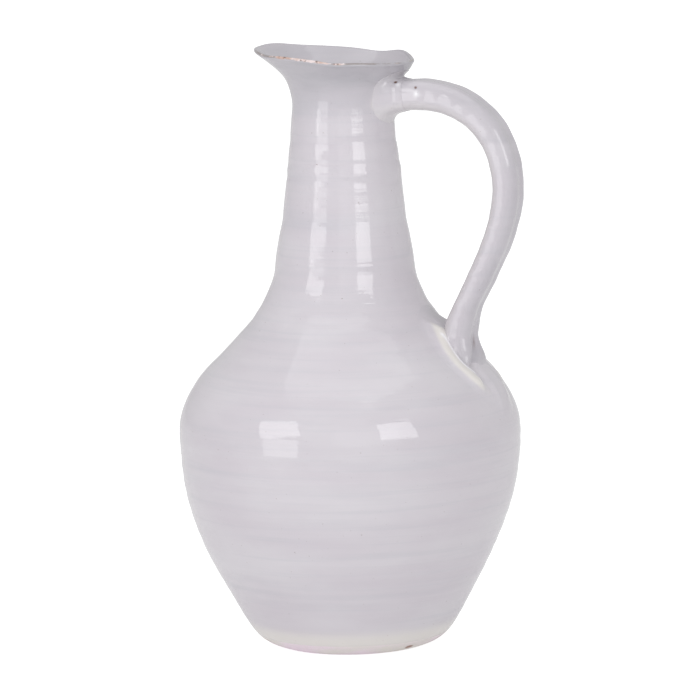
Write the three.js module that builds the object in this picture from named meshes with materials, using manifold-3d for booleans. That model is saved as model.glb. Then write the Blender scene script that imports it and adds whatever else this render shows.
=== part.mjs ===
// Glazed ceramic pitcher: a hand-thrown bottle jug with a pulled strap handle.
//
// Units are millimetres and +Z is up. The origin is the middle of the flat underside. The handle is
// on +X, the pouring side of the lip is on -X, and the plane y = 0 is the plane of symmetry.
//
// The jug is put together the way a potter puts it together: a floor disc, a thrown belly, a thrown
// neck and a flared lip stand on each other, and a pulled handle is joined to them through a collar
// at the top and a terminal at the bottom, each bedded in a coil of clay.

import * as THREE from "three";
import { mergeVertices } from "three/addons/utils/BufferGeometryUtils.js";
import Module from "manifold-3d";

const wasm = await Module();
wasm.setup();

// ---------------------------------------------------------------- driving dimensions

const FOOT_RADIUS = 42; // the flat that the jug stands on
const BELLY_RADIUS = 101; // widest radius
const BELLY_LEVEL = 120; // height of the widest radius
const NECK_RADIUS = 30; // narrowest radius, just under the lip
const RIM_RADIUS = 42.5; // outside edge of the lip before it is drawn out to pour
const RIM_LEVEL = 349.5; // height of that edge
const WALL_LOW = 6.5; // wall thickness at the foot
const WALL_HIGH = 4; // wall thickness at the rim
const GAP = 0.3; // space left between pieces that bear on each other

// Heights where one piece ends and the next one starts.
const FLOOR_TOP = 8;
const SHOULDER_SEAM = 199;
const LIP_SEAM = 336;

// The stretch of wall that each piece covers, and how many bands it is divided into.
const baseStretch = { from: 0, to: FLOOR_TOP, steps: 3 };
const bellyStretch = { from: FLOOR_TOP + GAP, to: SHOULDER_SEAM, steps: 15 };
const neckStretch = { from: SHOULDER_SEAM + GAP, to: LIP_SEAM, steps: 10 };
const lipStretch = { from: LIP_SEAM + GAP, to: RIM_LEVEL, steps: 5 };

// The lip is drawn out on the -X side, rises towards it, and waves a little round the rim.
const POUR_REACH = 8.5;
const POUR_SPREAD = 1; // radians
const RIM_TILT = 2;
const RIM_WAVE = 0.6;

// The strap handle.
const STRAP_WIDTH = 24;
const STRAP_THICKNESS = 18;
const STRAP_SQUARENESS = 2.5; // exponent of the section: 2 is an ellipse, more is squarer
const GROOVE_DEPTH = 0.07; // shallow channel along the outer face, as a share of the thickness
const GROOVE_WIDTH = 0.2; // and its half width, as a share of the strap's width

// The coils of clay that the handle's ends are bedded in: a ridge round each end, smeared outwards
// over the wall. Levels and sizes are heights and arc lengths on the wall.
const RIDGE_RADIUS = 3;
const upperBed = { level: 325, halfHeight: 14, halfWidth: 15, opening: 0.15, smear: 1.35, proud: 2.2 };
const lowerBed = { level: 170, halfHeight: 22, halfWidth: 19, opening: 0.1, smear: 1.4, proud: 3 };

// How finely curved surfaces are divided, and how close two corners are before they are one.
const WALL_POINTS = 360;
const BODY_SIDES = 56;
const STRAP_SIDES = 16;
const STRAP_STEPS = 30;
const COLLAR_STEPS = 5;
const TERMINAL_STEPS = 8;
const RIDGE_STEPS = 28;
const RIDGE_POINTS = 12;
const SMEAR_SIDES = 28;
const SAME_CORNER = 1e-4;

// ---------------------------------------------------------------- the wall of the vessel

// Outside of the wall from the foot to the rim, as radius and height.
const outerWall = new THREE.SplineCurve([
  new THREE.Vector2(FOOT_RADIUS, 0),
  new THREE.Vector2(52.5, 4),
  new THREE.Vector2(60.5, 12),
  new THREE.Vector2(71, 30),
  new THREE.Vector2(86.5, 60),
  new THREE.Vector2(97, 90),
  new THREE.Vector2(BELLY_RADIUS, BELLY_LEVEL),
  new THREE.Vector2(99.5, 140),
  new THREE.Vector2(89, 160),
  new THREE.Vector2(71.5, 178),
  new THREE.Vector2(55, 196),
  new THREE.Vector2(44, 214),
  new THREE.Vector2(40, 236),
  new THREE.Vector2(35.5, 264),
  new THREE.Vector2(32, 294),
  new THREE.Vector2(NECK_RADIUS, 318),
  new THREE.Vector2(31, 332),
  new THREE.Vector2(35.5, 341),
  new THREE.Vector2(RIM_RADIUS, RIM_LEVEL),
]).getPoints(WALL_POINTS);

// The same wall moved along its own normal: inwards for the inside face, outwards for a cutter.
function movedWall(distanceAt) {
  return outerWall.map((point, index) => {
    const before = outerWall[Math.max(index - 1, 0)];
    const after = outerWall[Math.min(index + 1, outerWall.length - 1)];
    const along = after.clone().sub(before).normalize();
    const distance = distanceAt(point.y);
    return new THREE.Vector2(point.x + along.y * distance, point.y - along.x * distance);
  });
}

const innerWall = movedWall((z) => -THREE.MathUtils.lerp(WALL_LOW, WALL_HIGH, z / RIM_LEVEL));

// Radius of a wall at a height, between the two wall points on either side of it.
function radiusAt(wall, z) {
  const next = wall.findIndex((point) => point.y >= z);
  if (next === -1) {
    return wall[wall.length - 1].x;
  }
  if (next === 0) {
    return wall[0].x;
  }
  const low = wall[next - 1];
  const high = wall[next];
  return THREE.MathUtils.mapLinear(z, low.y, high.y, low.x, high.x);
}

// Evenly spaced points of a wall, upwards over one piece's stretch.
function pointsOfWall(wall, { from, to, steps }) {
  return Array.from({ length: steps + 1 }, (_, step) => {
    const z = THREE.MathUtils.lerp(from, to, step / steps);
    return new THREE.Vector2(radiusAt(wall, z), z);
  });
}

// ---------------------------------------------------------------- geometry helpers

// Turns a section of radius and height round the Z axis.
function turned(section) {
  return new THREE.LatheGeometry(section, BODY_SIDES).rotateX(Math.PI / 2);
}

// A ring of wall over one piece's stretch, closed at the top and bottom.
function wallRing(stretch) {
  const outside = pointsOfWall(outerWall, stretch);
  const inside = pointsOfWall(innerWall, stretch).reverse();
  return turned([...outside, ...inside, outside[0]]);
}

// The same surface with nothing but positions, and one vertex at each corner.
function welded(geometry) {
  const plain = geometry.clone();
  plain.deleteAttribute("normal");
  plain.deleteAttribute("uv");
  return mergeVertices(plain, SAME_CORNER);
}

// A closed surface as a solid that can be cut and joined, and back again.
function solidOf(geometry) {
  const closed = welded(geometry);
  const vertProperties = new Float32Array(closed.attributes.position.array);
  const triVerts = new Uint32Array(closed.index.array);
  return new wasm.Manifold(new wasm.Mesh({ numProp: 3, vertProperties, triVerts }));
}

function geometryOf(solid) {
  const mesh = solid.getMesh();
  const geometry = new THREE.BufferGeometry();
  geometry.setAttribute("position", new THREE.BufferAttribute(mesh.vertProperties, 3));
  geometry.setIndex(new THREE.BufferAttribute(mesh.triVerts, 1));
  return geometry;
}

// Calls change(point) on every vertex and stores the point that it leaves.
function reshaped(geometry, change) {
  const position = geometry.attributes.position;
  const point = new THREE.Vector3();
  for (let index = 0; index < position.count; index += 1) {
    point.fromBufferAttribute(position, index);
    change(point);
    position.setXYZ(index, point.x, point.y, point.z);
  }
  return geometry;
}

// Draws the rim out to pour, and lets it rise and dip. Nothing below the lip seam moves.
function drawnLip(geometry) {
  return reshaped(geometry, (point) => {
    const radius = Math.hypot(point.x, point.y);
    if (point.z <= LIP_SEAM || radius < SAME_CORNER) {
      return;
    }
    const climb = ((point.z - LIP_SEAM) / (RIM_LEVEL - LIP_SEAM)) ** 2;
    const angle = Math.atan2(point.y, point.x);
    const fromPour = (Math.PI - Math.abs(angle)) / POUR_SPREAD;
    const reach = climb * POUR_REACH * Math.exp(-fromPour * fromPour);
    point.x *= (radius + reach) / radius;
    point.y *= (radius + reach) / radius;
    point.z += climb * (RIM_WAVE * Math.cos(2 * angle) - RIM_TILT * Math.cos(angle));
  });
}

// The whole vessel as one filled solid, grown outwards by a gap. It cuts the handle's joints to the
// wall that they bear on.
function filledVessel(grow) {
  const wall = movedWall(() => grow);
  const stretches = [baseStretch, bellyStretch, neckStretch, lipStretch];
  const side = stretches.flatMap((stretch) => pointsOfWall(wall, stretch));
  const floor = new THREE.Vector2(0, side[0].y);
  const top = new THREE.Vector2(0, side[side.length - 1].y);
  return solidOf(drawnLip(turned([floor, ...side, top])));
}

// ---------------------------------------------------------------- the handle's course

// Middle line of the strap in the plane y = 0: out of the neck, over the top, down and in to the
// shoulder. It starts and ends inside the wall.
const strapCourse = new THREE.CatmullRomCurve3([
  new THREE.Vector3(22, 0, 326),
  new THREE.Vector3(36, 0, 327.5),
  new THREE.Vector3(55, 0, 328),
  new THREE.Vector3(74, 0, 323),
  new THREE.Vector3(90, 0, 311),
  new THREE.Vector3(99.5, 0, 294),
  new THREE.Vector3(102.5, 0, 272),
  new THREE.Vector3(97.5, 0, 248),
  new THREE.Vector3(86.3, 0, 223),
  new THREE.Vector3(75.8, 0, 202),
  new THREE.Vector3(71.5, 0, 186),
  new THREE.Vector3(72, 0, 166),
], false, "centripetal");

// Where the collar hands over to the strap, and the strap to the terminal, along that line.
const COLLAR_END = 0.088;
const TERMINAL_START = 0.9;
const STRAP_GAP = 0.0012; // the gap between those pieces, as a share of the course

// Width and thickness of the strap along its course: it flares into both joints and thins downwards.
const strapStations = [
  { along: 0, width: 36, thickness: 31 },
  { along: 0.05, width: 30, thickness: 24 },
  { along: COLLAR_END, width: STRAP_WIDTH + 1, thickness: STRAP_THICKNESS + 1 },
  { along: 0.5, width: STRAP_WIDTH, thickness: STRAP_THICKNESS - 1 },
  { along: 0.82, width: STRAP_WIDTH, thickness: STRAP_THICKNESS - 3 },
  { along: TERMINAL_START, width: STRAP_WIDTH + 1, thickness: STRAP_THICKNESS },
  { along: 1, width: 36, thickness: 27 },
];

function strapSize(along, measure) {
  const next = Math.max(strapStations.findIndex((station) => station.along >= along), 1);
  const low = strapStations[next - 1];
  const high = strapStations[next];
  const share = THREE.MathUtils.smoothstep(along, low.along, high.along);
  return THREE.MathUtils.lerp(low[measure], high[measure], share);
}

// Section of the strap one unit wide and one unit thick: x across, y towards the outer face.
function strapSection() {
  const power = 2 / STRAP_SQUARENESS;
  const points = Array.from({ length: STRAP_SIDES }, (_, side) => {
    const angle = (side / STRAP_SIDES) * 2 * Math.PI;
    const across = 0.5 * Math.sign(Math.cos(angle)) * Math.abs(Math.cos(angle)) ** power;
    const outwards = 0.5 * Math.sign(Math.sin(angle)) * Math.abs(Math.sin(angle)) ** power;
    const groove = outwards > 0 ? GROOVE_DEPTH * Math.exp(-((across / GROOVE_WIDTH) ** 2)) : 0;
    return new THREE.Vector2(across, outwards - groove);
  });
  return new THREE.Shape(points);
}

// A length of strap between two places on its course, grown all over by a gap.
function strapLength(from, to, steps, grow = 0) {
  const straight = new THREE.ExtrudeGeometry(strapSection(), {
    depth: 1,
    steps,
    bevelEnabled: false,
  });
  const across = new THREE.Vector3(0, 1, 0);
  return reshaped(straight, (point) => {
    const along = THREE.MathUtils.lerp(from, to, point.z);
    const middle = strapCourse.getPointAt(along);
    const tangent = strapCourse.getTangentAt(along);
    const outwards = new THREE.Vector3().crossVectors(tangent, across);
    const width = strapSize(along, "width") + 2 * grow;
    const thickness = strapSize(along, "thickness") + 2 * grow;
    const sideways = point.x * width;
    const outside = point.y * thickness;
    point.copy(middle).addScaledVector(across, sideways).addScaledVector(outwards, outside);
  });
}

// ---------------------------------------------------------------- joints on the wall

// A point on the outside of the wall: height, and arc length round from the handle's plane.
function onWall(z, around, proud = 0) {
  const radius = radiusAt(outerWall, z);
  const angle = around / radius;
  const out = radius + proud;
  return new THREE.Vector3(out * Math.cos(angle), out * Math.sin(angle), z);
}

// The ridge of a coil, laid on the wall as a horseshoe that is open at the top.
function ridge({ level, halfHeight, halfWidth, opening }) {
  const points = Array.from({ length: RIDGE_POINTS + 1 }, (_, step) => {
    const share = THREE.MathUtils.lerp(opening, 1 - opening, step / RIDGE_POINTS);
    const angle = Math.PI / 2 + share * 2 * Math.PI;
    return onWall(level + halfHeight * Math.sin(angle), halfWidth * Math.cos(angle));
  });
  const section = new THREE.Shape().absarc(0, 0, RIDGE_RADIUS, 0, 2 * Math.PI);
  return new THREE.ExtrudeGeometry(section, {
    steps: RIDGE_STEPS,
    curveSegments: 5,
    extrudePath: new THREE.CatmullRomCurve3(points),
    bevelEnabled: false,
  });
}

// The smear of a coil: a thin lens of clay bent on to the wall.
function smear({ level, halfHeight, halfWidth, smear: spread, proud }) {
  const lens = new THREE.SphereGeometry(1, SMEAR_SIDES, SMEAR_SIDES / 2);
  return reshaped(lens, (point) => {
    const z = level + point.z * halfHeight * spread;
    point.copy(onWall(z, point.y * halfWidth * spread, point.x * proud));
  });
}

// A coil of clay round one end of the handle, cut to the wall and to that end.
function beddingCoil(bed, handleEnd) {
  const clay = solidOf(ridge(bed)).add(solidOf(smear(bed)));
  return geometryOf(clay.subtract(vesselWithGap).subtract(handleEnd));
}

// ---------------------------------------------------------------- the pieces

const bareClay = { color: 0xd9c9c4, roughness: 0.85, metalness: 0 };
const whiteGlaze = { color: 0xd8d3d8, roughness: 0.1, metalness: 0 };

function piece(name, geometry, finish) {
  const closed = welded(geometry);
  closed.computeVertexNormals();
  const mesh = new THREE.Mesh(closed, new THREE.MeshStandardMaterial(finish));
  mesh.name = name;
  return mesh;
}

function base() {
  const side = pointsOfWall(outerWall, baseStretch);
  const underside = new THREE.Vector2(0, 0);
  const floor = new THREE.Vector2(0, FLOOR_TOP);
  return piece("base", turned([underside, ...side, floor]), bareClay);
}

function belly() {
  return piece("belly", wallRing(bellyStretch), whiteGlaze);
}

function neck() {
  return piece("neck", wallRing(neckStretch), whiteGlaze);
}

function lip() {
  const outside = pointsOfWall(outerWall, lipStretch);
  const top = innerWall[innerWall.length - 1].y;
  const inside = pointsOfWall(innerWall, { ...lipStretch, to: top }).reverse();
  return piece("lip", drawnLip(turned([...outside, ...inside, outside[0]])), whiteGlaze);
}

function handle() {
  const geometry = strapLength(COLLAR_END, TERMINAL_START, STRAP_STEPS);
  return piece("handle", geometry, whiteGlaze);
}

const vesselWithGap = filledVessel(GAP);

function upperCollar() {
  const root = solidOf(strapLength(0, COLLAR_END - STRAP_GAP, COLLAR_STEPS));
  return piece("handle_upper_collar", geometryOf(root.subtract(vesselWithGap)), whiteGlaze);
}

function upperLutingCoil() {
  const collarWithGap = solidOf(strapLength(0, COLLAR_END, COLLAR_STEPS, GAP));
  return piece("upper_luting_coil", beddingCoil(upperBed, collarWithGap), whiteGlaze);
}

function lowerTerminal() {
  const root = solidOf(strapLength(TERMINAL_START + STRAP_GAP, 1, TERMINAL_STEPS));
  return piece("handle_lower_terminal", geometryOf(root.subtract(vesselWithGap)), whiteGlaze);
}

function lowerLutingCoil() {
  const terminalWithGap = solidOf(strapLength(TERMINAL_START, 1, TERMINAL_STEPS, GAP));
  return piece("lower_luting_coil", beddingCoil(lowerBed, terminalWithGap), whiteGlaze);
}

const pitcher = new THREE.Group();
pitcher.add(base());
pitcher.add(belly());
pitcher.add(neck());
pitcher.add(lip());
pitcher.add(upperLutingCoil());
pitcher.add(upperCollar());
pitcher.add(handle());
pitcher.add(lowerTerminal());
pitcher.add(lowerLutingCoil());

export default pitcher;
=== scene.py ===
# A glazed ceramic pitcher: a hand-thrown bottle jug with a pulled strap handle.
#
# Shapes are worked out in millimetres in the frame of the CAD part (+Z up, the handle on +X, the
# pouring side of the lip on -X) and become metres when a mesh is made. Every piece stands for the CAD
# node of the same name. Angles go round the axis from the handle, and "outwards" is away from it. The
# floor, the lights, the camera and what the materials measure are in metres.

import math

import bpy
import numpy as np
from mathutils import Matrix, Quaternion, Vector


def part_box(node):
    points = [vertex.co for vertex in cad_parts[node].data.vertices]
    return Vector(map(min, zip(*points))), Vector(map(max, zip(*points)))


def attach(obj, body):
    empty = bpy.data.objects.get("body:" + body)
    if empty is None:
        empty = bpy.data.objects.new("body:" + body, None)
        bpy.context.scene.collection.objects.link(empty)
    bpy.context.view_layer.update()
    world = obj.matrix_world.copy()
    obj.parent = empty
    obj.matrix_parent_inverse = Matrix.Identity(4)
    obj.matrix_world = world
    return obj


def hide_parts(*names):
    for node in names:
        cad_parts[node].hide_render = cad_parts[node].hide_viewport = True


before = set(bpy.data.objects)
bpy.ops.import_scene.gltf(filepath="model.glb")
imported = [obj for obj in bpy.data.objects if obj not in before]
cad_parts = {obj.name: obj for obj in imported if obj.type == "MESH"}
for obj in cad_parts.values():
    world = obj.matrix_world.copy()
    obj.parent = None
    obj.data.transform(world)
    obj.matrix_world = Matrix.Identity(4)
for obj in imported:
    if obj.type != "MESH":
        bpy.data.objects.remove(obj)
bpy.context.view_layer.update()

METRE = 1000.0  # millimetres

# ---------------------------------------------------------------- sizes taken from the frame


def height_of(node):
    """Lowest and highest level of a CAD node, in millimetres."""
    low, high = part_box(node)
    return low.z * METRE, high.z * METRE


def meeting_level(below, above):
    """The level halfway between the top of one CAD node and the bottom of the next."""
    return (height_of(below)[1] + height_of(above)[0]) / 2


FLOOR_TOP = meeting_level("base", "belly")
SHOULDER_SEAM = meeting_level("belly", "neck")
LIP_SEAM = meeting_level("neck", "lip")

# ---------------------------------------------------------------- driving dimensions

# Outside of the wall as radius and height, as in the CAD part.
WALL_OUTLINE = [
    (42, 0),
    (52.5, 4),
    (60.5, 12),
    (71, 30),
    (86.5, 60),
    (97, 90),
    (101, 120),
    (99.5, 140),
    (89, 160),
    (71.5, 178),
    (55, 196),
    (44, 214),
    (40, 236),
    (35.5, 264),
    (32, 294),
    (30, 318),
    (31, 332),
    (35.5, 341),
    (42.5, 349.5),
]
WALL_LOW = 6.5  # wall thickness at the foot
WALL_HIGH = 4.0  # and at the rim

# The rim: drawn out to pour opposite the handle, and rising towards that side.
RIM_RADIUS = 42.2
RIM_LEVEL = 351.0
POUR_REACH = 8.8
POUR_SPREAD = 1.0  # radians
RIM_TILT = 3.6
RIM_SET_BACK = 0.5  # how far the whole rim is set towards the pouring side
RIM_THICKNESS = 2.6
# Places where the rim rises or dips by hand: angle and spread in degrees, height in millimetres.
RIM_WAVES = [
    (165, 18, 1.6),
    (-164, 14, 0.9),
    (-135, 13, -0.7),
    (-76, 13, -1.0),
    (50, 18, 2.6),
    (80, 14, -0.6),
]

# How the lip flares. Away from the handle it is partly a straight cone, and over the handle fuller.
LIP_CONE = 0.45  # share of the flare that is the cone
LIP_CURL = 0.85  # how far the rest follows its curve: 1 would end upright
FULL_LIP_ANGLE = 0.25  # radians
FULL_LIP_SPREAD = 0.6
FULL_LIP_POWER = 2.5
FULL_LIP_START = 0.1  # share of the rise over which the full lip sets out

# Throwing rings: shallow grooves left by the potter's fingers, closest together near the foot. One with
# a negative depth is a low swelling instead.
RING_GROUPS = [
    {"levels": (17, 24, 28.5, 34, 40), "depth": 0.14, "width": 2.0},
    {"levels": (49.5, 57, 66, 75, 84, 94, 105.5, 114.5, 122.5), "depth": 0.15, "width": 2.4},
    {"levels": (130, 155, 163, 172, 181, 190), "depth": 0.12, "width": 2.4},
    {"levels": (279, 288.6, 301), "depth": 0.28, "width": 2.7},
    {"levels": (208.5, 218), "depth": 0.08, "width": 1.2},
    {"levels": (222, 254, 323.5), "depth": 0.5, "width": 6.5},
    {"levels": (194.0, 203.6), "depth": 0.34, "width": 3.6},
    {"levels": (213,), "depth": -0.7, "width": 13.0},
    {"levels": (284,), "depth": -0.45, "width": 9.0},
]
RING_WANDER = (0.8, 0.4)  # how far a ring rises and falls, once and twice round the jug
RING_CHANGE = (0.3, 0.2)  # shares by which its depth changes, once and three times round
RING_CROWN = 0.1  # how proud the wall stands between its grooves
RING_START = 14.0  # level above the foot where the rings have their full depth
GOLDEN_ANGLE = 2.39996  # radians, spreads the rings' starting points evenly round the jug

# Low marks of the potter's hand inside the jug.
HAND_MARK = 0.15
HAND_PITCH = 2.1

LIP_SHADE_LEVELS = (312, 343)  # levels where the painted shade under and inside the lip starts, and is darkest

# The wall isn't quite straight: how far its middle strays sideways at each level.
STRAY_LEVELS = (0, 59, 119, 205, 285, 335)
STRAY = (0, -0.5, 0.7, -0.7, 0.25, 0)
STRAY_DIRECTION = math.radians(21)

# Middle line of the strap, as x and z in the plane of the handle, as in the CAD part.
STRAP_COURSE = [
    (22, 326),
    (36, 327.5),
    (55, 328),
    (74, 323),
    (90, 311),
    (99.5, 294),
    (102.5, 272),
    (97.5, 248),
    (86.3, 223),
    (75.8, 202),
    (71.5, 186),
    (72, 166),
]
COLLAR_END = 0.088  # share of the course where the collar hands over to the strap
TERMINAL_START = 0.9  # and the strap to the terminal
# Share of the course, width and thickness there.
STRAP_STATIONS = [
    (0, 25.5, 21.5),
    (0.05, 25.2, 20),
    (COLLAR_END, 24.5, 18.6),
    (0.5, 23.2, 16.2),
    (0.82, 23.2, 14.4),
    (TERMINAL_START, 25, 18),
    (1, 33, 25.5),
]
STRAP_SQUARENESS = 2.9  # exponent of the section: 2 is an ellipse, more is squarer
END_SQUARENESS = 4.0  # and at the foot of the handle
BURIED = 1.5  # how deep the ends of the handle go into the wall

# The groove down the outer face of the strap, as shares of its thickness and width. At the foot of the
# handle a thumb has pressed it deeper, narrower and to one side.
GROOVE_DEPTH = 0.06
GROOVE_WIDTH = 0.2
THUMB_DEPTH = 0.22
THUMB_NARROWER = 0.08
THUMB_SIDE = -0.3
THUMB_STRETCH = (0.84, 0.97)  # shares of the course where the thumb print starts and is full
THUMB_DRIFT = (0.92, 1)  # where it moves to its side
THUMB_EASES = (0.95, 1)  # where it gets shallower again, to half its depth
SQUARED = (0.88, 1)  # and where the section gets squarer

SIDES = 320  # divisions round the jug
ROW = 1.2  # height of a row of faces on the outside
SEAM_ROW = 0.15  # height of the last row before a seam, so that shading runs on across it
STRAP_COLUMNS = 96  # divisions round the strap
STRAP_ROW = 0.8
COLLAR_COLUMNS = 192  # and round the collar, which is bent most
COLLAR_ROW = 0.2
PATCH_STEP = 0.55  # size of a face of the clay round the joints
SHARPEST_SMOOTH = math.radians(50)  # edges sharper than this are shaded as edges

# ---------------------------------------------------------------- curves


def smoothstep(value, low=0.0, high=1.0):
    """From 0 at low to 1 at high, smoothly. Low may be the greater."""
    share = np.clip((value - low) / (high - low), 0, 1)
    return share * share * (3 - 2 * share)


def bell(value, centre, spread):
    """One at the centre, falling away smoothly on both sides."""
    return np.exp(-(((value - centre) / spread) ** 2))


# Powers for spline.
EVEN = 0  # spaces the knots evenly
ROUNDED = 0.5  # keeps a curve through uneven points round


def spline(points, power, steps=100):
    """A Catmull-Rom curve. Its knots are as far apart as its points are, raised to a power."""
    points = np.array(points, float)
    # An even curve repeats its end points, and a rounded one runs on past them.
    ends = 2 * points[[0, -1]] - points[[1, -2]] if power else points[[0, -1]]
    padded = np.vstack([ends[:1], points, ends[1:]])
    curve = []
    for p0, p1, p2, p3 in zip(padded, padded[1:], padded[2:], padded[3:]):
        pairs = ((p0, p1), (p1, p2), (p2, p3))
        before, within, after = (np.linalg.norm(b - a) ** power for a, b in pairs)
        leave = ((p1 - p0) / before - (p2 - p0) / (before + within) + (p2 - p1) / within) * within
        arrive = ((p2 - p1) / within - (p3 - p1) / (within + after) + (p3 - p2) / after) * within
        share = np.linspace(0, 1, steps, endpoint=False)[:, None]
        bend = (2 * share**3 - 3 * share**2 + 1) * p1 + (3 * share**2 - 2 * share**3) * p2
        pull = (share**3 - 2 * share**2 + share) * leave + (share**3 - share**2) * arrive
        curve.append(bend + pull)
    curve.append(points[-1:])
    return np.vstack(curve)


outline = spline(WALL_OUTLINE, EVEN)
outline_slope = np.gradient(outline, axis=0)
outline_slope /= np.linalg.norm(outline_slope, axis=1)[:, None]
thickness = WALL_LOW + (WALL_HIGH - WALL_LOW) * outline[:, 1] / WALL_OUTLINE[-1][1]
inline = outline + np.stack([-outline_slope[:, 1], outline_slope[:, 0]], 1) * thickness[:, None]


def plain_radius(level):
    """Radius of the outside of the wall without rings."""
    return np.interp(level, outline[:, 1], outline[:, 0])


def inner_radius(level):
    """Radius of the inside of the wall."""
    return np.interp(level, inline[:, 1], inline[:, 0])


# ---------------------------------------------------------------- the wall of the jug


def throwing_rings(level, angle):
    """How far the rings move the outside of the wall, in millimetres: grooves are negative."""
    relief = np.full(np.broadcast(level, angle).shape, RING_CROWN)
    count = 0
    for group in RING_GROUPS:
        for groove in group["levels"]:
            start = count * GOLDEN_ANGLE
            once, twice = RING_WANDER
            wander = once * np.sin(angle + start) + twice * np.sin(2 * angle + 1.7 * start)
            once, thrice = RING_CHANGE
            strength = 1 + once * np.sin(angle + 2.3 * start) + thrice * np.sin(3 * angle + start)
            depth = group["depth"] * strength
            relief = relief - depth * bell(level, groove + wander, group["width"])
            count += 1
    return relief * smoothstep(level, 0, RING_START)


def rim_radius(angle):
    """Radius of the rim, which is drawn out on the pouring side."""
    drawn_out = POUR_REACH * bell(np.pi - np.abs(angle), 0, POUR_SPREAD)
    return RIM_RADIUS + drawn_out - RIM_SET_BACK * np.cos(angle)


def apart(angle, other):
    """Difference between two angles, the short way round."""
    return (angle - other + np.pi) % (2 * np.pi) - np.pi


def rim_level(angle):
    """Level of the rim, which is tilted and uneven."""
    level = RIM_LEVEL - RIM_TILT * np.cos(angle)
    for centre, spread, rise in RIM_WAVES:
        level = level + rise * bell(apart(angle, math.radians(centre)), 0, math.radians(spread))
    return level


def flare(rise, angle):
    """Share of the lip's reach at a share of its rise. It is fuller over the handle."""
    curl = smoothstep(LIP_CURL * rise) / smoothstep(LIP_CURL)
    open_lip = LIP_CONE * rise + (1 - LIP_CONE) * curl
    full_lip = (1 - (1 - rise) ** FULL_LIP_POWER) * (1 - bell(rise, 0, FULL_LIP_START))
    return open_lip + bell(angle, FULL_LIP_ANGLE, FULL_LIP_SPREAD) * (full_lip - open_lip)


def outer_radius(level, angle):
    """Radius of the outside of the wall anywhere, with its rings and its lip."""
    rise = np.clip((level - LIP_SEAM) / (rim_level(angle) - LIP_SEAM), 0, 1)
    reach = rim_radius(angle) - plain_radius(LIP_SEAM)
    wall = plain_radius(np.minimum(level, LIP_SEAM)) + throwing_rings(level, angle)
    return wall + reach * flare(rise, angle)


def placed(radius, angle, level):
    """Points from radius, angle and level, on the wall's slightly straying axis."""
    stray = np.interp(level, STRAY_LEVELS, STRAY)
    x = radius * np.cos(angle) + stray * math.cos(STRAY_DIRECTION)
    y = radius * np.sin(angle) + stray * math.sin(STRAY_DIRECTION)
    return np.stack([x, y, level + 0 * radius], -1)


def thin_glaze(level):
    """Painted shade under and inside the lip, growing towards the rim: a number from 0 to 1."""
    return smoothstep(level, *LIP_SHADE_LEVELS)


def levels_between(low, high, row):
    """Row levels of a stretch of wall, with a thin row at each end."""
    count = int(round((high - low) / row))
    inside = np.linspace(low + SEAM_ROW, high - SEAM_ROW, count)
    return np.concatenate([[low], inside, [high]])


# ---------------------------------------------------------------- making meshes


def grid_faces(rows, columns, close_rows):
    """Quads of a grid whose columns close on themselves, and whose rows may."""
    row, column = np.meshgrid(
        np.arange(rows if close_rows else rows - 1), np.arange(columns), indexing="ij"
    )
    next_row = (row + 1) % rows
    next_column = (column + 1) % columns
    corners = [(row, column), (row, next_column), (next_row, next_column), (next_row, column)]
    return np.stack([r * columns + c for r, c in corners], -1).reshape(-1, 4)


def capped_faces(rows, columns):
    """Faces of a tube of rows, closed at each end by a fan. Its two middle points come after the grid."""
    faces = grid_faces(rows, columns, False).tolist()
    first_middle = rows * columns
    last_row = first_middle - columns
    for side in range(columns):
        after = (side + 1) % columns
        faces.append([after, side, first_middle])
        faces.append([last_row + side, last_row + after, first_middle + 1])
    return faces


def near_spot(points, place, radius):
    """One at a place, falling away smoothly round it."""
    return bell(np.linalg.norm(points - np.array(place), axis=-1), 0, radius)


def new_piece(node, points, faces, material, marks):
    """A mesh object that stands for a CAD node. Marks are numbers on its vertices for the material."""
    mesh = bpy.data.meshes.new(node)
    mesh.from_pydata((points.reshape(-1, 3) / METRE).tolist(), [], faces)
    for name, values in marks.items():
        mark = mesh.attributes.new(name, "FLOAT", "POINT")
        mark.data.foreach_set("value", np.ascontiguousarray(values, np.float32).ravel())
    mesh.materials.append(material)
    mesh.polygons.foreach_set("use_smooth", np.ones(len(mesh.polygons), bool))
    mesh.set_sharp_from_angle(angle=SHARPEST_SMOOTH)
    mesh.update()
    piece = bpy.data.objects.new("glazed_" + node, mesh)
    bpy.context.scene.collection.objects.link(piece)
    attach(piece, "root")
    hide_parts(node)
    return piece


around = np.linspace(-np.pi, np.pi, SIDES, endpoint=False)[None, :]

# Dark specks that came up through the glaze of the neck.
SPECKS = [(18.5, -27.7, 279.8), (20.0, -28.9, 267.3), (20.4, -28.6, 265.6)]
SPECK_RADIUS = 0.9
SPECK_DARKNESS = 0.7


def wall_piece(node, low, high, material):
    """A ring of wall, closed at both ends: up the outside and down the inside."""
    outside = levels_between(low, high, ROW)[:, None]
    inside = levels_between(low, high, 3 * ROW)[::-1, None]
    rings = throwing_rings(outside, around)
    hand = HAND_MARK * np.sin(inside / HAND_PITCH + around)
    outer = placed(outer_radius(outside, around), around, outside + 0 * around)
    inner = placed(inner_radius(inside) + hand, around, inside + 0 * around)
    points = np.concatenate([outer, inner])
    flat = np.zeros(inner.shape[:2])
    speck = np.zeros(points.shape[:2])
    for place in SPECKS:
        speck = np.maximum(speck, SPECK_DARKNESS * near_spot(points, place, SPECK_RADIUS))
    # Painted shade: bluish grey in the grooves of the rings, and grey towards the rim, outside and inside.
    thin = [thin_glaze(outside + 0 * around), thin_glaze(inside + 0 * around)]
    marks = {"ring": np.concatenate([rings, flat]), "thin": np.concatenate(thin), "pit": speck}
    faces = grid_faces(len(points), SIDES, True)
    return new_piece(node, points, faces.tolist(), material, marks)


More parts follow.
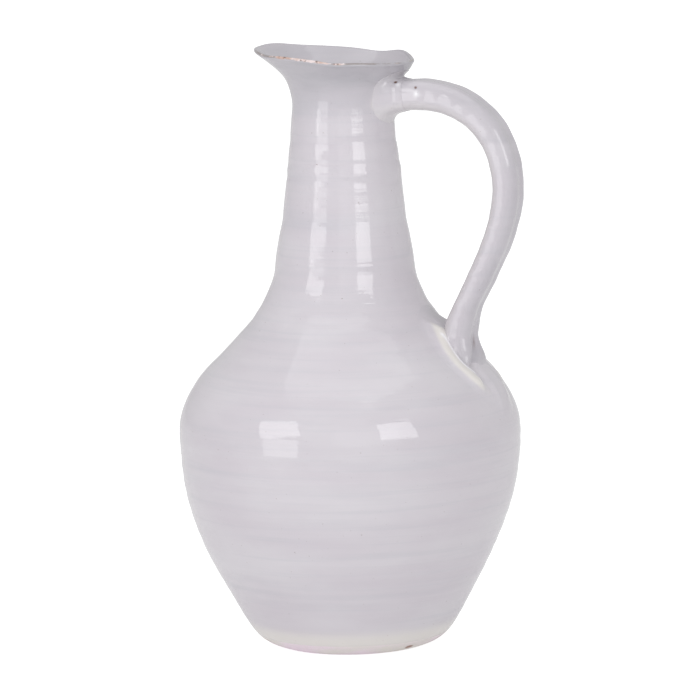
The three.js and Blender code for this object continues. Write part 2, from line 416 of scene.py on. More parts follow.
# The foot: a flat underside given by rings this far in from its edge, and a softened edge this high.
UNDERSIDE = (12, 4, 1.5)
FOOT_EDGE = 0.8
FOOT_ROWS = 12
FLOOR_RING = 1.0  # how far in from the wall's inside the last ring of the floor's top lies

# A chip in the foot.
CHIP_ANGLE = math.radians(-30.7)
CHIP_LEVEL = 4.2
CHIP_WIDTH = 3.2
CHIP_HEIGHT = 1.3
CHIP_DEPTH = 0.7


def base_piece(material):
    """The floor disc, flat underneath, and the bare clay band of the foot."""
    foot = WALL_OUTLINE[0][0]
    rows = [(foot - inset, 0.0) for inset in UNDERSIDE]
    levels = np.linspace(FOOT_EDGE, FLOOR_TOP - SEAM_ROW, FOOT_ROWS)
    rows += [(plain_radius(z), z) for z in levels]
    rows += [(plain_radius(FLOOR_TOP), FLOOR_TOP), (inner_radius(FLOOR_TOP) - FLOOR_RING, FLOOR_TOP)]
    radius, level = np.array(rows).T[..., None]
    on_side = level > 0
    along = apart(around, CHIP_ANGLE) * radius
    chip = on_side * bell(along, 0, CHIP_WIDTH) * bell(level, CHIP_LEVEL, CHIP_HEIGHT)
    radius = radius + on_side * throwing_rings(level, around) - CHIP_DEPTH * chip
    points = placed(radius, around, level + 0 * around)
    middles = [(0, 0, 0), (0, 0, FLOOR_TOP)]
    points = np.concatenate([points.reshape(-1, 3), middles])
    faces = capped_faces(len(rows), SIDES)
    return new_piece("base", points, faces, material, {"chip": np.append(chip, [0, 0])})


LIP_ROWS = 40
RIM_TURNS = 12  # divisions of the rounded rim, from outside to inside
INSIDE_LIP_SHADE = 0.62  # how dark the painted shade is inside the lip

# The glaze is rubbed off the rounded rim. The first pair of angles goes over the rim, from its outside
# to its inside, and the second round the jug, to where it has worn most.
EDGE_TURN, EDGE_SPREAD = math.radians(75), math.radians(42)
WEAR_ANGLE, WEAR_SPREAD = math.radians(-92), math.radians(30)
LEAST_WEAR = 0.2


def lip_piece(material):
    """The flared lip: its underside, a rounded rim and its inside."""
    rise = np.concatenate([[0, 0.01], np.linspace(0.03, 1, LIP_ROWS)])[:, None]
    level = LIP_SEAM + rise * (rim_level(around) - LIP_SEAM)
    radius = outer_radius(level, around)
    slope_r = np.gradient(radius, axis=0)
    slope_z = np.gradient(level, axis=0)
    length = np.hypot(slope_r, slope_z)
    slope_r, slope_z = slope_r / length, slope_z / length
    half = RIM_THICKNESS / 2
    # Draw the end back, so that the rounded rim comes to the rim's own radius and level.
    radius = radius - half * (slope_r[-1] - slope_z[-1]) * rise**4
    level = level - half * (slope_z[-1] + slope_r[-1]) * rise**4
    turn = np.linspace(0, np.pi, RIM_TURNS)[1:-1, None]
    out, up = slope_r[-1][None, :], slope_z[-1][None, :]
    centre_r, centre_z = radius[-1] - half * up, level[-1] + half * out
    rim_r = centre_r + half * (up * np.cos(turn) + out * np.sin(turn))
    rim_z = centre_z + half * (-out * np.cos(turn) + up * np.sin(turn))
    # Inside, the wall thins towards the rim. It is measured level at the seam, and squarely higher up.
    wall = plain_radius(LIP_SEAM) - inner_radius(LIP_SEAM)
    depth = wall + (RIM_THICKNESS - wall) * smoothstep(rise, 0, 0.8)
    leave = smoothstep(rise, 0, 0.5)
    in_r = radius - depth * (1 - leave + leave * slope_z)
    in_z = level + depth * leave * slope_r
    all_r = np.concatenate([radius, rim_r, in_r[::-1]])
    all_z = np.concatenate([level, rim_z, in_z[::-1]])
    points = placed(all_r, around + 0 * all_z, all_z)
    marks = {name: np.zeros(all_r.shape) for name in ("worn", "rim", "ring", "thin")}
    outside = slice(0, len(radius))
    rounded = slice(len(radius), len(radius) + len(turn))
    edge = bell(turn, EDGE_TURN, EDGE_SPREAD)
    near_side = bell(apart(around, WEAR_ANGLE), 0, WEAR_SPREAD)
    marks["worn"][rounded] = edge * (LEAST_WEAR + (1 - LEAST_WEAR) * near_side)
    marks["rim"][rounded] = edge
    # Painted shade: bluish grey in the rings' grooves, and grey on the lip's underside and inside it. The
    # rounded rim, where the glaze is thin, is grey all over.
    marks["ring"][outside] = throwing_rings(level, around)
    marks["thin"][:] = INSIDE_LIP_SHADE
    marks["thin"][outside] = thin_glaze(level)
    marks["thin"][rounded] = 1
    faces = grid_faces(len(points), SIDES, True)
    return new_piece("lip", points, faces.tolist(), material, marks)


# ---------------------------------------------------------------- the handle

course = spline(STRAP_COURSE, ROUNDED)
course_step = np.linalg.norm(np.diff(course, axis=0), axis=1)
course_length = np.concatenate([[0], np.cumsum(course_step)])
strap_length = course_length[-1]


def course_point(place):
    """Middle of the strap, as x and z, at lengths along its course."""
    return np.stack([np.interp(place, course_length, course[:, axis]) for axis in (0, 1)], -1)


def on_course(along):
    """Middle and direction of the strap, as x and z, at shares of its course."""
    place = along * strap_length
    way = course_point(place + STRAP_ROW) - course_point(place - STRAP_ROW)
    return course_point(place), way / np.linalg.norm(way, axis=-1, keepdims=True)


def strap_size(along, column):
    """Width (column 1) or thickness (column 2) of the strap at shares of its course."""
    size = np.zeros_like(along)
    for low, high in zip(STRAP_STATIONS, STRAP_STATIONS[1:]):
        within = (along >= low[0]) & (along <= high[0])
        share = smoothstep(along, low[0], high[0])
        size = np.where(within, low[column] + (high[column] - low[column]) * share, size)
    return size


# Small brown hollows in the glaze of the handle: middle, radius and depth.
PINHOLES = [((37.4, -9.2, 335.6), 1.4, 0.9), ((50.5, -11.5, 333.1), 1.2, 0.5)]
# Small drops of glaze beside them, painted white as glints: a painted highlight. They stand proud, so
# their depth is negative.
GLINT_DROPS = [((39.2, -10.4, 334.2), 1.3, -0.4), ((51.4, -12.4, 329.1), 1.6, -0.4)]
INTO_CLAY = (0, 0.8, -0.6)  # direction into the clay there

# How far the top of the handle spreads where it meets the neck, and how soon that falls away.
COLLAR_FLARES = [(2.6, 1.2), (2.8, 4.5)]
COIL_TOP = 0.5  # how proud the coil under that spread stands
HUG_FADE = 4.0  # how soon the spread stops following the neck
LOOK_FADE = 3.0  # how soon the handle's glaze stops looking as the neck's does

# Unevenness from pulling the strap by hand: height, waves in radians over the course, and start.
PULL_WAVES = [(0.25, 61, 0), (0.15, 143, 2)]
COLLAR_STEP = 0.8  # height of the low fold near the end of the collar
COLLAR_STEP_PLACE, COLLAR_STEP_SPREAD = COLLAR_END - 0.014, 0.009
PULLED_THICKNESS = 0.6  # share of the unevenness that the thickness takes up


def thumb_middle(along):
    """Where the middle of the groove is across the strap, as a share of its width."""
    return THUMB_SIDE * smoothstep(along, *THUMB_DRIFT)


def strap_section(along, turn):
    """A squarish oval, as shares of width and thickness, and the depth of the groove in its outer face."""
    square = STRAP_SQUARENESS + (END_SQUARENESS - STRAP_SQUARENESS) * smoothstep(along, *SQUARED)
    size = np.abs(np.cos(turn)) ** square + np.abs(np.sin(turn)) ** square
    reach = 0.5 * size ** (-1 / square)
    across, outwards = reach * np.cos(turn), reach * np.sin(turn)
    thumb = smoothstep(along, *THUMB_STRETCH)
    deeper = THUMB_DEPTH * thumb * (1 - 0.5 * smoothstep(along, *THUMB_EASES))
    width = GROOVE_WIDTH - THUMB_NARROWER * thumb
    groove = (GROOVE_DEPTH + deeper) * bell(across, thumb_middle(along), width)
    outwards = outwards - groove * (outwards > 0) * smoothstep(outwards, 0, 0.3)
    return across, outwards, groove


def strap_points(along, across, outwards):
    """Points on the strap's surface, and the middle of each of its sections."""
    middle, way = on_course(along[:, 0])
    pulled = sum(height * np.sin(along * waves + start) for height, waves, start in PULL_WAVES)
    pulled = pulled + COLLAR_STEP * bell(along, COLLAR_STEP_PLACE, COLLAR_STEP_SPREAD)
    width = strap_size(along, 1) + pulled
    deep = strap_size(along, 2) + PULLED_THICKNESS * pulled
    x = middle[:, :1] - way[:, 1:] * outwards * deep
    z = middle[:, 1:] + way[:, :1] * outwards * deep
    return np.stack([x, across * width, z], -1), middle


def spotted(points, spots):
    """Points moved by small round spots in the glaze, and how strongly each lies in a spot."""
    mark = np.zeros(points.shape[:-1])
    for place, radius, depth in spots:
        near = near_spot(points, place, radius)
        mark = np.maximum(mark, near)
        points = points + (near * depth)[..., None] * np.array(INTO_CLAY)
    return points, mark


def round_axis(points):
    """Radius and angle of points."""
    return np.hypot(points[..., 0], points[..., 1]), np.arctan2(points[..., 1], points[..., 0])


def flared(points, middle):
    """The collar's sections, spread where they near the neck into a rounded hollow all round."""
    radius, angle = round_axis(points)
    proud = radius - outer_radius(points[..., 2], angle)
    rise = np.maximum(proud - COIL_TOP, 0)
    push = sum(spread * np.exp(-rise / fall) for spread, fall in COLLAR_FLARES)
    centre = np.stack([middle[:, 0], 0 * middle[:, 0], middle[:, 1]], -1)[:, None, :]
    away = points - centre
    away /= np.linalg.norm(away, axis=-1, keepdims=True)
    moved = points + push[..., None] * away
    # A spread point stays as far from the neck as it was, so that the collar hugs the neck.
    radius, angle = round_axis(moved)
    hugging = outer_radius(moved[..., 2], angle) + proud
    radius = radius + np.exp(-rise / HUG_FADE) * (hugging - radius)
    return np.stack([radius * np.cos(angle), radius * np.sin(angle), moved[..., 2]], -1)


def into_wall(points, along):
    """Lets the strap's ends follow the wall, a little way inside it. Also how far off it each point is."""
    radius, angle = round_axis(points)
    wall = outer_radius(points[..., 2], angle) - BURIED
    inside = placed(np.maximum(radius, wall), angle, points[..., 2])
    near_end = (along < COLLAR_END) | (along > TERMINAL_START)
    points = np.where((near_end & (radius < wall))[..., None], inside, points)
    return points, np.maximum(radius - wall - BURIED, 0)


def strap_piece(node, start, end, material):
    """A length of the strap, closed at both ends."""
    at_neck = start == 0
    columns, row = (COLLAR_COLUMNS, COLLAR_ROW) if at_neck else (STRAP_COLUMNS, STRAP_ROW)
    seam = SEAM_ROW / strap_length
    along = np.linspace(start, end, int((end - start) * strap_length / row) + 1)
    along = np.concatenate([[start, start + seam], along[1:-1], [end - seam, end]])[:, None]
    turn = np.linspace(0, 2 * np.pi, columns, endpoint=False)[None, :]
    across, outwards, groove = strap_section(along, turn)
    points, middle = strap_points(along, across, outwards)
    points, pinhole = spotted(points, PINHOLES)
    points, drop_glint = spotted(points, GLINT_DROPS)
    if at_neck:
        points = flared(points, middle)
    points, off_wall = into_wall(points, along)
    # Brown glaze has gathered in a line beside the thumb print.
    stain = 0.62 * bell(across, thumb_middle(along) + 0.11, 0.05) * bell(along, 0.925, 0.04)
    # Near the neck the handle takes the coil's colours there, with the painted shade under the lip.
    joined = np.exp(-off_wall / LOOK_FADE) * at_neck
    # The strap is greyer all over and most on its outer face, and creamier towards its inner face.
    thin = 0.2 + 0.35 * smoothstep(outwards, 0.02, 0.3)
    cream = 0.4 * smoothstep(-outwards, 0.05, 0.35)
    marks = {
        "pit": np.maximum(pinhole, stain * (outwards > 0)),
        # Painted shade, bluish grey in the groove down the strap.
        "ring": -1.2 * groove,
        "thin": thin + joined * (0.6 * thin_glaze(points[..., 2]) - thin),
        "cream": cream + joined * (0.3 - cream),
        # The drops are painted white as glints: a painted highlight.
        "painted_glint": drop_glint,
    }
    faces = capped_faces(len(along), columns)
    ends = points[[0, -1]].mean(axis=1)
    points = np.concatenate([points.reshape(-1, 3), ends])
    marks = {name: np.append(mark, [0, 0]) for name, mark in marks.items()}
    return new_piece(node, points, faces, material, marks)


# ---------------------------------------------------------------- the joints

# The coils lie on the wall: a place is an arc length round from the handle's plane, and a level.

# The oval outline of each coil: level of its middle, half its width and half its height.
LOWER_OUTLINE = (171, 29.0, 36.0)
UPPER_OUTLINE = (324, 25.0, 22.0)
# Ridge of clay round each end of the handle.
LOWER_RIDGE = [
    (6, 195),
    (9.7, 190.8),
    (14.3, 184),
    (18.3, 176.5),
    (19.5, 168.8),
    (17.2, 161),
    (12.5, 156.5),
]
UPPER_RIDGE = [(4, 340), (10.3, 336.4), (14.6, 331.6), (16, 325.8), (16.2, 321.5), (14, 317)]
LOWER_RIDGE_HEIGHT = 3.4
LOWER_RIDGE_SPREAD = 4.4  # outside its line
LOWER_RIDGE_SOFTER = 3.5  # how much further it spreads inside its line
UPPER_RIDGE_HEIGHT = 0.3
UPPER_RIDGE_SPREAD = 3.2
# Where the coil at the foot meets the side of the strap. A white line painted along it is a painted
# highlight.
LOWER_CREASE = [(12, 188.5), (13, 183.3), (14.8, 179.2), (16.3, 174.9), (16.4, 171.3), (14.2, 167.2)]
# Clay that fills the corner between the wall and the outer face of the strap: level and height.
LOWER_FILLET = [
    (136, 0),
    (141, 0.3),
    (146, 0.8),
    (151, 1.5),
    (156, 2.2),
    (160, 2.5),
    (164, 2.5),
    (168, 2.7),
    (172, 3.8),
    (176, 5.5),
    (183, 6.8),
    (190, 5.0),
    (194, 2.8),
    (198, 0.3),
    (201, 0),
]
# Small pits in the lower coil: place, and radius.
LOWER_PITS = [(21, 195.4, 1.1), (24, 173, 1.3)]
PIT_DEPTH = 0.5
# How a coil runs out at its outline, as shares of the way in, and how far it is sunk there and outside.
FEATHER = (-0.08, 0.12)
SUNK = 0.06
SUNK_OUTSIDE = 0.12


def from_line(u, level, line):
    """Distance of grid points from a line, and the share of the line where they are nearest."""
    curve = spline(line, ROUNDED, 12)
    best = np.full(u.shape, np.inf)
    where = np.zeros(u.shape)
    for index, (a, b) in enumerate(zip(curve, curve[1:])):
        way = b - a
        share = np.clip(((u - a[0]) * way[0] + (level - a[1]) * way[1]) / (way @ way), 0, 1)
        away = np.hypot(u - a[0] - share * way[0], level - a[1] - share * way[1])
        where = np.where(away < best, (index + share) / (len(curve) - 1), where)
        best = np.minimum(best, away)
    return best, where


def patch_piece(node, low, high, reach, height, material):
    """A pad of clay on the wall: height(u, level) gives how proud it stands, and its marks."""
    levels = np.linspace(low, high, int((high - low) / PATCH_STEP))[:, None]
    sides = np.linspace(-reach, reach, int(2 * reach / PATCH_STEP))[None, :]
    u = sides + 0 * levels
    level = levels + 0 * sides
    angle = u / plain_radius(level)
    proud, marks = height(u, level)
    top = placed(outer_radius(level, angle) + proud, angle, level)
    under = placed(outer_radius(level, angle) - BURIED, angle, level)
    rows, columns = u.shape
    points = np.concatenate([top.reshape(-1, 3), under.reshape(-1, 3)])
    index = np.arange(rows * columns).reshape(rows, columns)
    quads = np.stack([index[:-1, :-1], index[:-1, 1:], index[1:, 1:], index[1:, :-1]], -1)
    quads = quads.reshape(-1, 4)
    below = rows * columns
    rim = np.concatenate([index[0, :-1], index[:-1, -1], index[-1, :0:-1], index[:0:-1, 0]])
    after = np.roll(rim, -1)
    skirt = np.stack([rim, rim + below, after + below, after], -1)
    faces = np.concatenate([quads, quads[:, ::-1] + below, skirt])
    marks = {name: np.concatenate([mark.ravel(), 0 * mark.ravel()]) for name, mark in marks.items()}
    return new_piece(node, points, faces.tolist(), material, marks)


def inside_outline(side, level, outline):
    """How far inside an oval outline points are: 1 at its middle, 0 on it and negative outside."""
    middle, half_width, half_height = outline
    return 1 - np.hypot(side / half_width, (level - middle) / half_height)


def feathered(height, inside):
    """Lets a height run out at the outline of a coil, and keeps it just under the wall outside."""
    edge = smoothstep(inside, *FEATHER)
    return height * edge - SUNK_OUTSIDE * (1 - edge) - SUNK


def run_out(where):
    """How full the lower ridge is along its line: it starts quickly, and fades towards its low end."""
    return (1 - 0.8 * smoothstep(where, 0.78, 1)) * smoothstep(where, 0, 0.15)


def lower_ridge(u, level, away, where):
    """The ridge of the lower coil: steep outside its line, softer inside, and lower on the far side."""
    ridge_u, ridge_level = np.array(LOWER_RIDGE, float).T
    within = np.interp(level, ridge_level[::-1], ridge_u[::-1]) - np.abs(u)
    spread = LOWER_RIDGE_SPREAD + LOWER_RIDGE_SOFTER * smoothstep(within, 0, 3)
    far_side = 1 - 0.45 * smoothstep(u, 0, 8) * smoothstep(level, 186, 176)
    return LOWER_RIDGE_HEIGHT * run_out(where) * bell(away, 0, spread) * far_side


def lower_fillet(u, level):
    """Clay in the corner against the strap. Low down it ends on the near side in a slanting step."""
    middle = np.interp(level, *np.array(LOWER_FILLET).T)
    step_u = -10 * smoothstep(level, 182, 166)
    above = smoothstep(level, 180, 190)
    near = (1 - above) * smoothstep(u - step_u, 0, 5) + above * bell(np.minimum(u, 0), 0, 10)
    far = bell(np.maximum(u - 5, 0), 0, 10)
    return middle * near * far


def lower_height(u, level):
    """The coil at the foot of the handle: a ridge, a smear outside it, and a fillet to the strap."""
    side = np.abs(u)
    inside = inside_outline(side, level, LOWER_OUTLINE)
    away, where = from_line(side, level, LOWER_RIDGE)
    crease_away, _ = from_line(side, level, LOWER_CREASE)
    smear = smoothstep(inside, 0, 0.5)
    pits = 0
    for pit_side, pit_level, radius in LOWER_PITS:
        pits = pits + PIT_DEPTH * bell(np.hypot(side - pit_side, level - pit_level), 0, radius)
    proud = smear + lower_ridge(u, level, away, where) + lower_fillet(u, level) - pits
    # Painted shade: bluish grey in the pits and along a line outside the ridge, and grey in the corner
    # under the strap. A white line along the crease is a painted highlight.
    under_strap_shade = np.hypot((u - 6) / 13, (level - 198) / 4.5)
    marks = {
        "ring": -0.5 * pits - 0.2 * bell(away, 8, 1.6),
        "cream": smoothstep(bell(away, 0, LOWER_RIDGE_SPREAD), 0.3, 0.9) * run_out(where),
        "thin": 0.9 * bell(under_strap_shade, 0, 1),
        "painted_glint": bell(crease_away, 0, 1.0),
    }
    return feathered(proud, inside), marks


def upper_height(u, level):
    """The coil at the top of the handle: a low ridge round the collar, smeared down the neck."""
    side = np.abs(u)
    inside = inside_outline(side, level, UPPER_OUTLINE)
    away, where = from_line(side, level, UPPER_RIDGE)
    smear = 0.4 * smoothstep(inside, 0, 0.5)
    fade = 1 - smoothstep(where, 0.75, 1)
    ridge = UPPER_RIDGE_HEIGHT * fade * bell(away, 0, UPPER_RIDGE_SPREAD)
    cream = 0.5 * smoothstep(ridge, 0.08, 0.3)
    # Painted shade, bluish and grey, in the recess where the collar comes out of the coil, on its upper
    # side.
    root = np.hypot(side / 13.5, (level - 326.5) / 11.5)
    recess_shade = bell(root, 1.08, 0.12) * smoothstep(level, 318, 324)
    # Painted shade under the lip, less on the cream ridge, and in the recess.
    thin = np.maximum(thin_glaze(level) * (1 - cream), 0.5 * recess_shade)
    return feathered(smear + ridge, inside), {"ring": -0.5 * recess_shade, "cream": cream, "thin": thin}


# ---------------------------------------------------------------- materials


class Surface:
    """A node material, with short calls for the nodes it needs."""

    def __init__(self, name):
        self.material = bpy.data.materials.new(name)
        self.material.use_nodes = True
        self.tree = self.material.node_tree
        self.shader = self.tree.nodes["Principled BSDF"]
        self.place = self.add("ShaderNodeTexCoord").outputs["Object"]

    def add(self, kind, **inputs):
        node = self.tree.nodes.new(kind)
        for name, value in inputs.items():
            self.put(node.inputs[name.replace("_", " ")], value)
        return node

    def put(self, socket, value):
        """Links a node's output to a socket, or sets the socket to a plain value."""
        if isinstance(value, bpy.types.NodeSocket):
            self.tree.links.new(value, socket)
        else:
            socket.default_value = value

    def noise(self, scale, detail=2.0, stretch=(1, 1, 1), roughness=0.5):
        """Noise from 0 to 1, as fine as scale features in a metre along each stretched axis."""
        moved = self.add("ShaderNodeMapping", Vector=self.place, Scale=stretch)
        texture = self.add("ShaderNodeTexNoise", Vector=moved.outputs[0], Scale=scale)
        texture.inputs["Detail"].default_value = detail
        texture.inputs["Roughness"].default_value = roughness
        return texture.outputs["Fac"]

    def mark(self, name):
        """One of the numbers that a mesh carries on its vertices."""
        node = self.add("ShaderNodeAttribute")
        node.attribute_name = name
        return node.outputs["Fac"]

    def ranged(self, value, low, high, start=0.0, end=1.0):
        """The value's place between low and high, smoothly, as a number from start to end."""
        node = self.add("ShaderNodeMapRange")
        node.interpolation_type = "SMOOTHSTEP"
        for socket, number in zip(node.inputs, (value, low, high, start, end)):
            self.put(socket, number)
        return node.outputs[0]

    def math(self, operation, a, b):
        node = self.add("ShaderNodeMath")
        node.operation = operation
        self.put(node.inputs[0], a)
        self.put(node.inputs[1], b)
        return node.outputs[0]

    def mix(self, share, first, second):
        node = self.add("ShaderNodeMix")
        node.data_type = "RGBA"
        self.put(node.inputs["Factor"], share)
        self.put(node.inputs[6], first)
        self.put(node.inputs[7], second)
        return node.outputs[2]

    def bump(self, height, distance, normal=None):
        node = self.add("ShaderNodeBump", Height=height, Distance=distance)
        if normal is not None:
            self.put(node.inputs["Normal"], normal)
        return node.outputs[0]


LAVENDER_WHITE = (0.585, 0.547, 0.592, 1)
MILK_WHITE = (0.635, 0.61, 0.645, 1)
# Near white of painted highlights: glints on the glaze drops and a line along the lower crease.
GLINT_WHITE = (0.88, 0.87, 0.90, 1)
BLUE_GREY = (0.50, 0.50, 0.545, 1)
CREAM = (0.74, 0.71, 0.68, 1)
# Grey of painted shade under and inside the lip and in hollows, and of thin glaze on the rim and greyer
# glaze on the handle.
SHADE_AND_THIN_GLAZE_GREY = (0.425, 0.412, 0.445, 1)
PINK = (0.81, 0.70, 0.78, 1)
PALE_CLAY = (0.78, 0.68, 0.68, 1)
CLAY_ORANGE = (0.56, 0.39, 0.33, 1)
RIM_BROWN = (0.27, 0.235, 0.22, 1)
IRON_BROWN = (0.16, 0.09, 0.07, 1)
CHIP_BROWN = (0.34, 0.20, 0.16, 1)
PALE_GREYS = (0.58, 0.58, 0.58, 1), (0.6, 0.6, 0.6, 1)

# Sizes in metres.
FOOT_BAND = (0.020, 0.011)  # levels where the glaze starts to turn cream above the foot, and has turned
LINE_RELIEF = 0.00012
RIPPLE_RELIEF = 0.00004
GRAIN_RELIEF = 0.00006


def glaze_colour(surface):
    """Clouded white, with bluish lines from the wheel, cream places and thin glaze, painted shade in
    grooves, hollows and under and inside the lip, and painted highlights.
    """
    clouds = surface.noise(14, 4, (1, 1, 2.4))
    streaks = surface.noise(10, 3, (1, 1, 14))
    lines = surface.noise(9, 3, (1, 1, 42))
    ring = surface.mark("ring")
    colour = surface.mix(surface.ranged(clouds, 0.3, 0.78), LAVENDER_WHITE, MILK_WHITE)
    colour = surface.mix(surface.ranged(streaks, 0.5, 0.75, 0, 0.2), colour, BLUE_GREY)
    colour = surface.mix(surface.ranged(lines, 0.5, 0.68, 0, 0.22), colour, BLUE_GREY)
    # Painted shade: bluish grey in grooves, pits and recesses. Whiter where the wall stands proud between
    # its grooves.
    colour = surface.mix(surface.ranged(ring, 0.0, -0.5, 0, 0.22), colour, BLUE_GREY)
    colour = surface.mix(surface.ranged(ring, 0.0, 0.12, 0, 0.2), colour, MILK_WHITE)
    colour = surface.mix(surface.ranged(surface.mark("cream"), 0, 1, 0, 0.9), colour, CREAM)
    # Painted highlight: white glints on the drops and along the lower crease.
    colour = surface.mix(surface.mark("painted_glint"), colour, GLINT_WHITE)
    grey_streaks = surface.ranged(surface.noise(34, 4, (1, 1, 2.6)), 0.3, 0.7, 0.62, 1.0)
    # Painted shade under and inside the lip, and greyer places on the rim and handle.
    thin = surface.math("MULTIPLY", surface.mark("thin"), grey_streaks)
    colour = surface.mix(thin, colour, SHADE_AND_THIN_GLAZE_GREY)
    height = surface.add("ShaderNodeSeparateXYZ", Vector=surface.place).outputs["Z"]
    colour = surface.mix(surface.ranged(height, *FOOT_BAND, 0, 0.85), colour, CREAM)
    specks = surface.noise(700, 1)
    colour = surface.mix(surface.ranged(specks, 0.77, 0.82, 0, 0.45), colour, IRON_BROWN)
    return colour, lines


def worn_rim(surface, colour):
    """Adds brown rubbed places on the rim, and bare clay with burnt spots where it is worn through."""
    wear = surface.mark("worn")
    patchy = surface.noise(95, 4, (1, 1, 1), 0.65)
    worn = surface.math("ADD", wear, surface.ranged(patchy, 0.3, 0.7, -0.45, 0.45))
    worn = surface.math("MULTIPLY", surface.ranged(worn, 0.35, 0.75), surface.ranged(wear, 0.05, 0.3))
    rubbed = surface.ranged(surface.noise(75, 3, (1, 1, 1), 0.6), 0.42, 0.6, 0, 0.75)
    rubbed = surface.math("MULTIPLY", rubbed, surface.ranged(surface.mark("rim"), 0.35, 0.8))
    colour = surface.mix(rubbed, colour, RIM_BROWN)
    bare = surface.mix(surface.ranged(surface.noise(120, 3), 0.4, 0.6), PALE_CLAY, CLAY_ORANGE)
    colour = surface.mix(worn, colour, bare)
    burnt = surface.math("MULTIPLY", worn, surface.ranged(surface.noise(330, 3), 0.56, 0.66))
    return surface.mix(burnt, colour, IRON_BROWN), worn


def white_glaze():
    """A glossy milky glaze over everything but the foot."""
    surface = Surface("white_glaze_surface")
    colour, lines = glaze_colour(surface)
    colour, worn = worn_rim(surface, colour)
    colour = surface.mix(surface.ranged(surface.mark("pit"), 0.35, 0.9), colour, IRON_BROWN)
    surface.put(surface.shader.inputs["Base Color"], colour)
    smooth = surface.ranged(surface.noise(60, 3), 0.3, 0.7, 0.02, 0.06)
    roughness = surface.math("ADD", smooth, surface.ranged(worn, 0, 1, 0, 0.35))
    surface.put(surface.shader.inputs["Roughness"], roughness)
    surface.shader.inputs["IOR"].default_value = 1.5
    normal = surface.bump(lines, LINE_RELIEF)
    normal = surface.bump(surface.noise(110, 2), RIPPLE_RELIEF, normal)
    surface.put(surface.shader.inputs["Normal"], normal)
    return surface.material


def bare_clay():
    """The matt pinkish clay of the foot, with a chip in it."""
    surface = Surface("bare_clay_surface")
    grains = surface.noise(900, 4, (1, 1, 1), 0.7)
    patches = surface.noise(35, 3, (1, 1, 3))
    colour = surface.mix(surface.ranged(patches, 0.35, 0.7), PINK, CREAM)
    colour = surface.mix(surface.ranged(grains, 0.35, 0.75, 0, 0.1), colour, CLAY_ORANGE)
    colour = surface.mix(surface.ranged(surface.mark("chip"), 0.3, 0.7), colour, CHIP_BROWN)
    surface.put(surface.shader.inputs["Base Color"], colour)
    surface.put(surface.shader.inputs["Roughness"], surface.ranged(grains, 0.3, 0.7, 0.5, 0.75))
    surface.put(surface.shader.inputs["Normal"], surface.bump(grains, GRAIN_RELIEF))
    return surface.material


# ---------------------------------------------------------------- the pieces

# Lowest and highest level of each patch of wall that carries a coil, and its reach to either side.
LOWER_PATCH = (137, 207, 33)
UPPER_PATCH = (302, 345, 27)

glaze = white_glaze()
clay = bare_clay()

base_piece(clay)
wall_piece("belly", FLOOR_TOP, SHOULDER_SEAM, glaze)
wall_piece("neck", SHOULDER_SEAM, LIP_SEAM, glaze)
lip_piece(glaze)
strap_piece("handle_upper_collar", 0, COLLAR_END, glaze)
strap_piece("handle", COLLAR_END, TERMINAL_START, glaze)
strap_piece("handle_lower_terminal", TERMINAL_START, 1, glaze)
patch_piece("lower_luting_coil", *LOWER_PATCH, lower_height, glaze)
patch_piece("upper_luting_coil", *UPPER_PATCH, upper_height, glaze)

# ---------------------------------------------------------------- floor, light and camera

CAMERA_AZIMUTH = 21.0
CAMERA_ELEVATION = 7.8
CAMERA_DISTANCE = 3.0
CAMERA_ROLL = -1.25
CAMERA_LENS = 260.4  # millimetres, for a sensor 36 wide
CAMERA_SENSOR = 36
CAMERA_SHIFT = (0.0037, 0.0016)
AIM_LEVEL = 0.175
FAR_CLIP = 50.0

# Brightness of the studio: 1 is the white of the background.
SKY = 0.585
RIGHT_BOX = 3.2
LEFT_BOX = 2.9
LEFT_LOW = 1.95
OVERHEAD = 0.8
FRONT = 0.53
FLOOR_LIGHT = 0.34
FLOOR_SEEN = 0.78
FLOOR_HALF = 12.0
LEFT_ROLL = 20.0  # degrees that the box on the left leans


def white_floor():
    """A wide pale floor that the jug stands on."""
    surface = Surface("floor_paint")
    pale = surface.mix(surface.ranged(surface.noise(40, 2), 0.3, 0.7), *PALE_GREYS)
    surface.put(surface.shader.inputs["Base Color"], pale)
    surface.shader.inputs["Roughness"].default_value = 0.9
    surface.shader.inputs["Emission Color"].default_value = (1, 1, 1, 1)
    seen = surface.add("ShaderNodeLightPath").outputs["Is Camera Ray"]
    glow = surface.ranged(seen, 0, 1, FLOOR_LIGHT, FLOOR_SEEN)
    surface.put(surface.shader.inputs["Emission Strength"], glow)
    mesh = bpy.data.meshes.new("floor")
    corners = [(x * FLOOR_HALF, y * FLOOR_HALF, 0) for x, y in ((-1, -1), (1, -1), (1, 1), (-1, 1))]
    mesh.from_pydata(corners, [], [(0, 1, 2, 3)])
    mesh.materials.append(surface.material)
    floor = bpy.data.objects.new("floor", mesh)
    bpy.context.scene.collection.objects.link(floor)


def area_light(name, place, facing, width, height, radiance, roll=0.0):
    """A rectangular studio light at a place, with its back to it and its face along facing."""
    light = bpy.data.lights.new(name, "AREA")
    light.shape = "RECTANGLE"
    light.size = width
    light.size_y = height
    light.energy = radiance * math.pi * width * height
    lamp = bpy.data.objects.new(name, light)
    bpy.context.scene.collection.objects.link(lamp)
    lamp.location = place
    lamp.rotation_mode = "QUATERNION"
    lean = Quaternion((0, 0, 1), math.radians(roll))
    lamp.rotation_quaternion = facing.to_track_quat("-Z", "Y") @ lean
    lamp.visible_camera = False


def softbox(name, azimuth, low, high, width, radiance, roll=0.0, distance=1.0):
    """A light standing upright, facing the jug, at an angle to the right of the camera."""
    turn = math.radians(CAMERA_AZIMUTH + azimuth)
    out = Vector((math.sin(turn), -math.cos(turn), 0))
    place = out * distance + Vector((0, 0, (low + high) / 2))
    area_light(name, place, -out, width, high - low, radiance, roll)


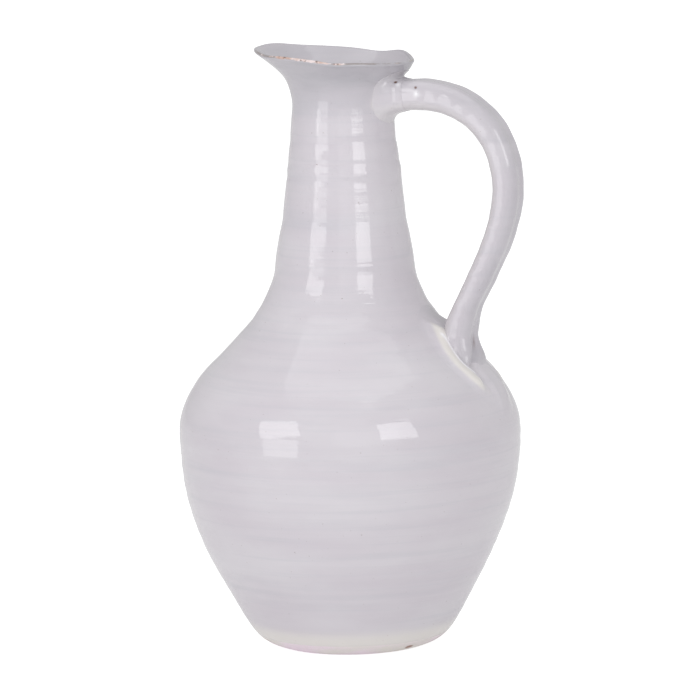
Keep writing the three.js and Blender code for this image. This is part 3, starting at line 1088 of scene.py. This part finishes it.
def studio():
    """Two softboxes, a reflector under the left one, a wide front fill and a light overhead."""
    # Each stands at an angle to the camera, from one height to another, and has a width and brightness.
    softbox("softbox_right", 32.7, 0.36, 0.86, 0.453, RIGHT_BOX)
    softbox("softbox_left", -50.0, 0.41, 0.82, 0.52, LEFT_BOX, LEFT_ROLL)
    softbox("reflector_left", -45.5, 0.01, 0.385, 0.43, LEFT_LOW)
    softbox("front_fill", 12, 0.3, 2.6, 3.0, FRONT, 0.0, 3.6)
    area_light("overhead", Vector((0, -0.1, 1.5)), Vector((0, 0, -1)), 1.4, 1.4, OVERHEAD)
    world = bpy.data.worlds.new("studio")
    bpy.context.scene.world = world
    world.use_nodes = True
    tree = world.node_tree
    seen = tree.nodes.new("ShaderNodeLightPath")
    brightness = tree.nodes.new("ShaderNodeMapRange")
    brightness.inputs["To Min"].default_value = SKY
    brightness.inputs["To Max"].default_value = 1.0
    tree.links.new(seen.outputs["Is Camera Ray"], brightness.inputs["Value"])
    tree.links.new(brightness.outputs[0], tree.nodes["Background"].inputs["Strength"])
    tree.nodes["Background"].inputs["Color"].default_value = (1, 1, 1, 1)


def photo_camera():
    """A long lens a little above the middle of the jug, aimed at its axis."""
    camera = bpy.data.objects.new("camera", bpy.data.cameras.new("camera"))
    bpy.context.scene.collection.objects.link(camera)
    azimuth, elevation = math.radians(CAMERA_AZIMUTH), math.radians(CAMERA_ELEVATION)
    level = math.cos(elevation)
    back = Vector((math.sin(azimuth) * level, -math.cos(azimuth) * level, math.sin(elevation)))
    camera.location = Vector((0, 0, AIM_LEVEL)) + back * CAMERA_DISTANCE
    camera.rotation_mode = "QUATERNION"
    roll = Quaternion((0, 0, 1), math.radians(CAMERA_ROLL))
    camera.rotation_quaternion = (-back).to_track_quat("-Z", "Y") @ roll
    camera.data.lens = CAMERA_LENS
    camera.data.sensor_width = CAMERA_SENSOR
    camera.data.shift_x, camera.data.shift_y = CAMERA_SHIFT
    camera.data.clip_end = FAR_CLIP
    bpy.context.scene.camera = camera


white_floor()
studio()
photo_camera()
bpy.context.scene.view_settings.view_transform = "Standard"
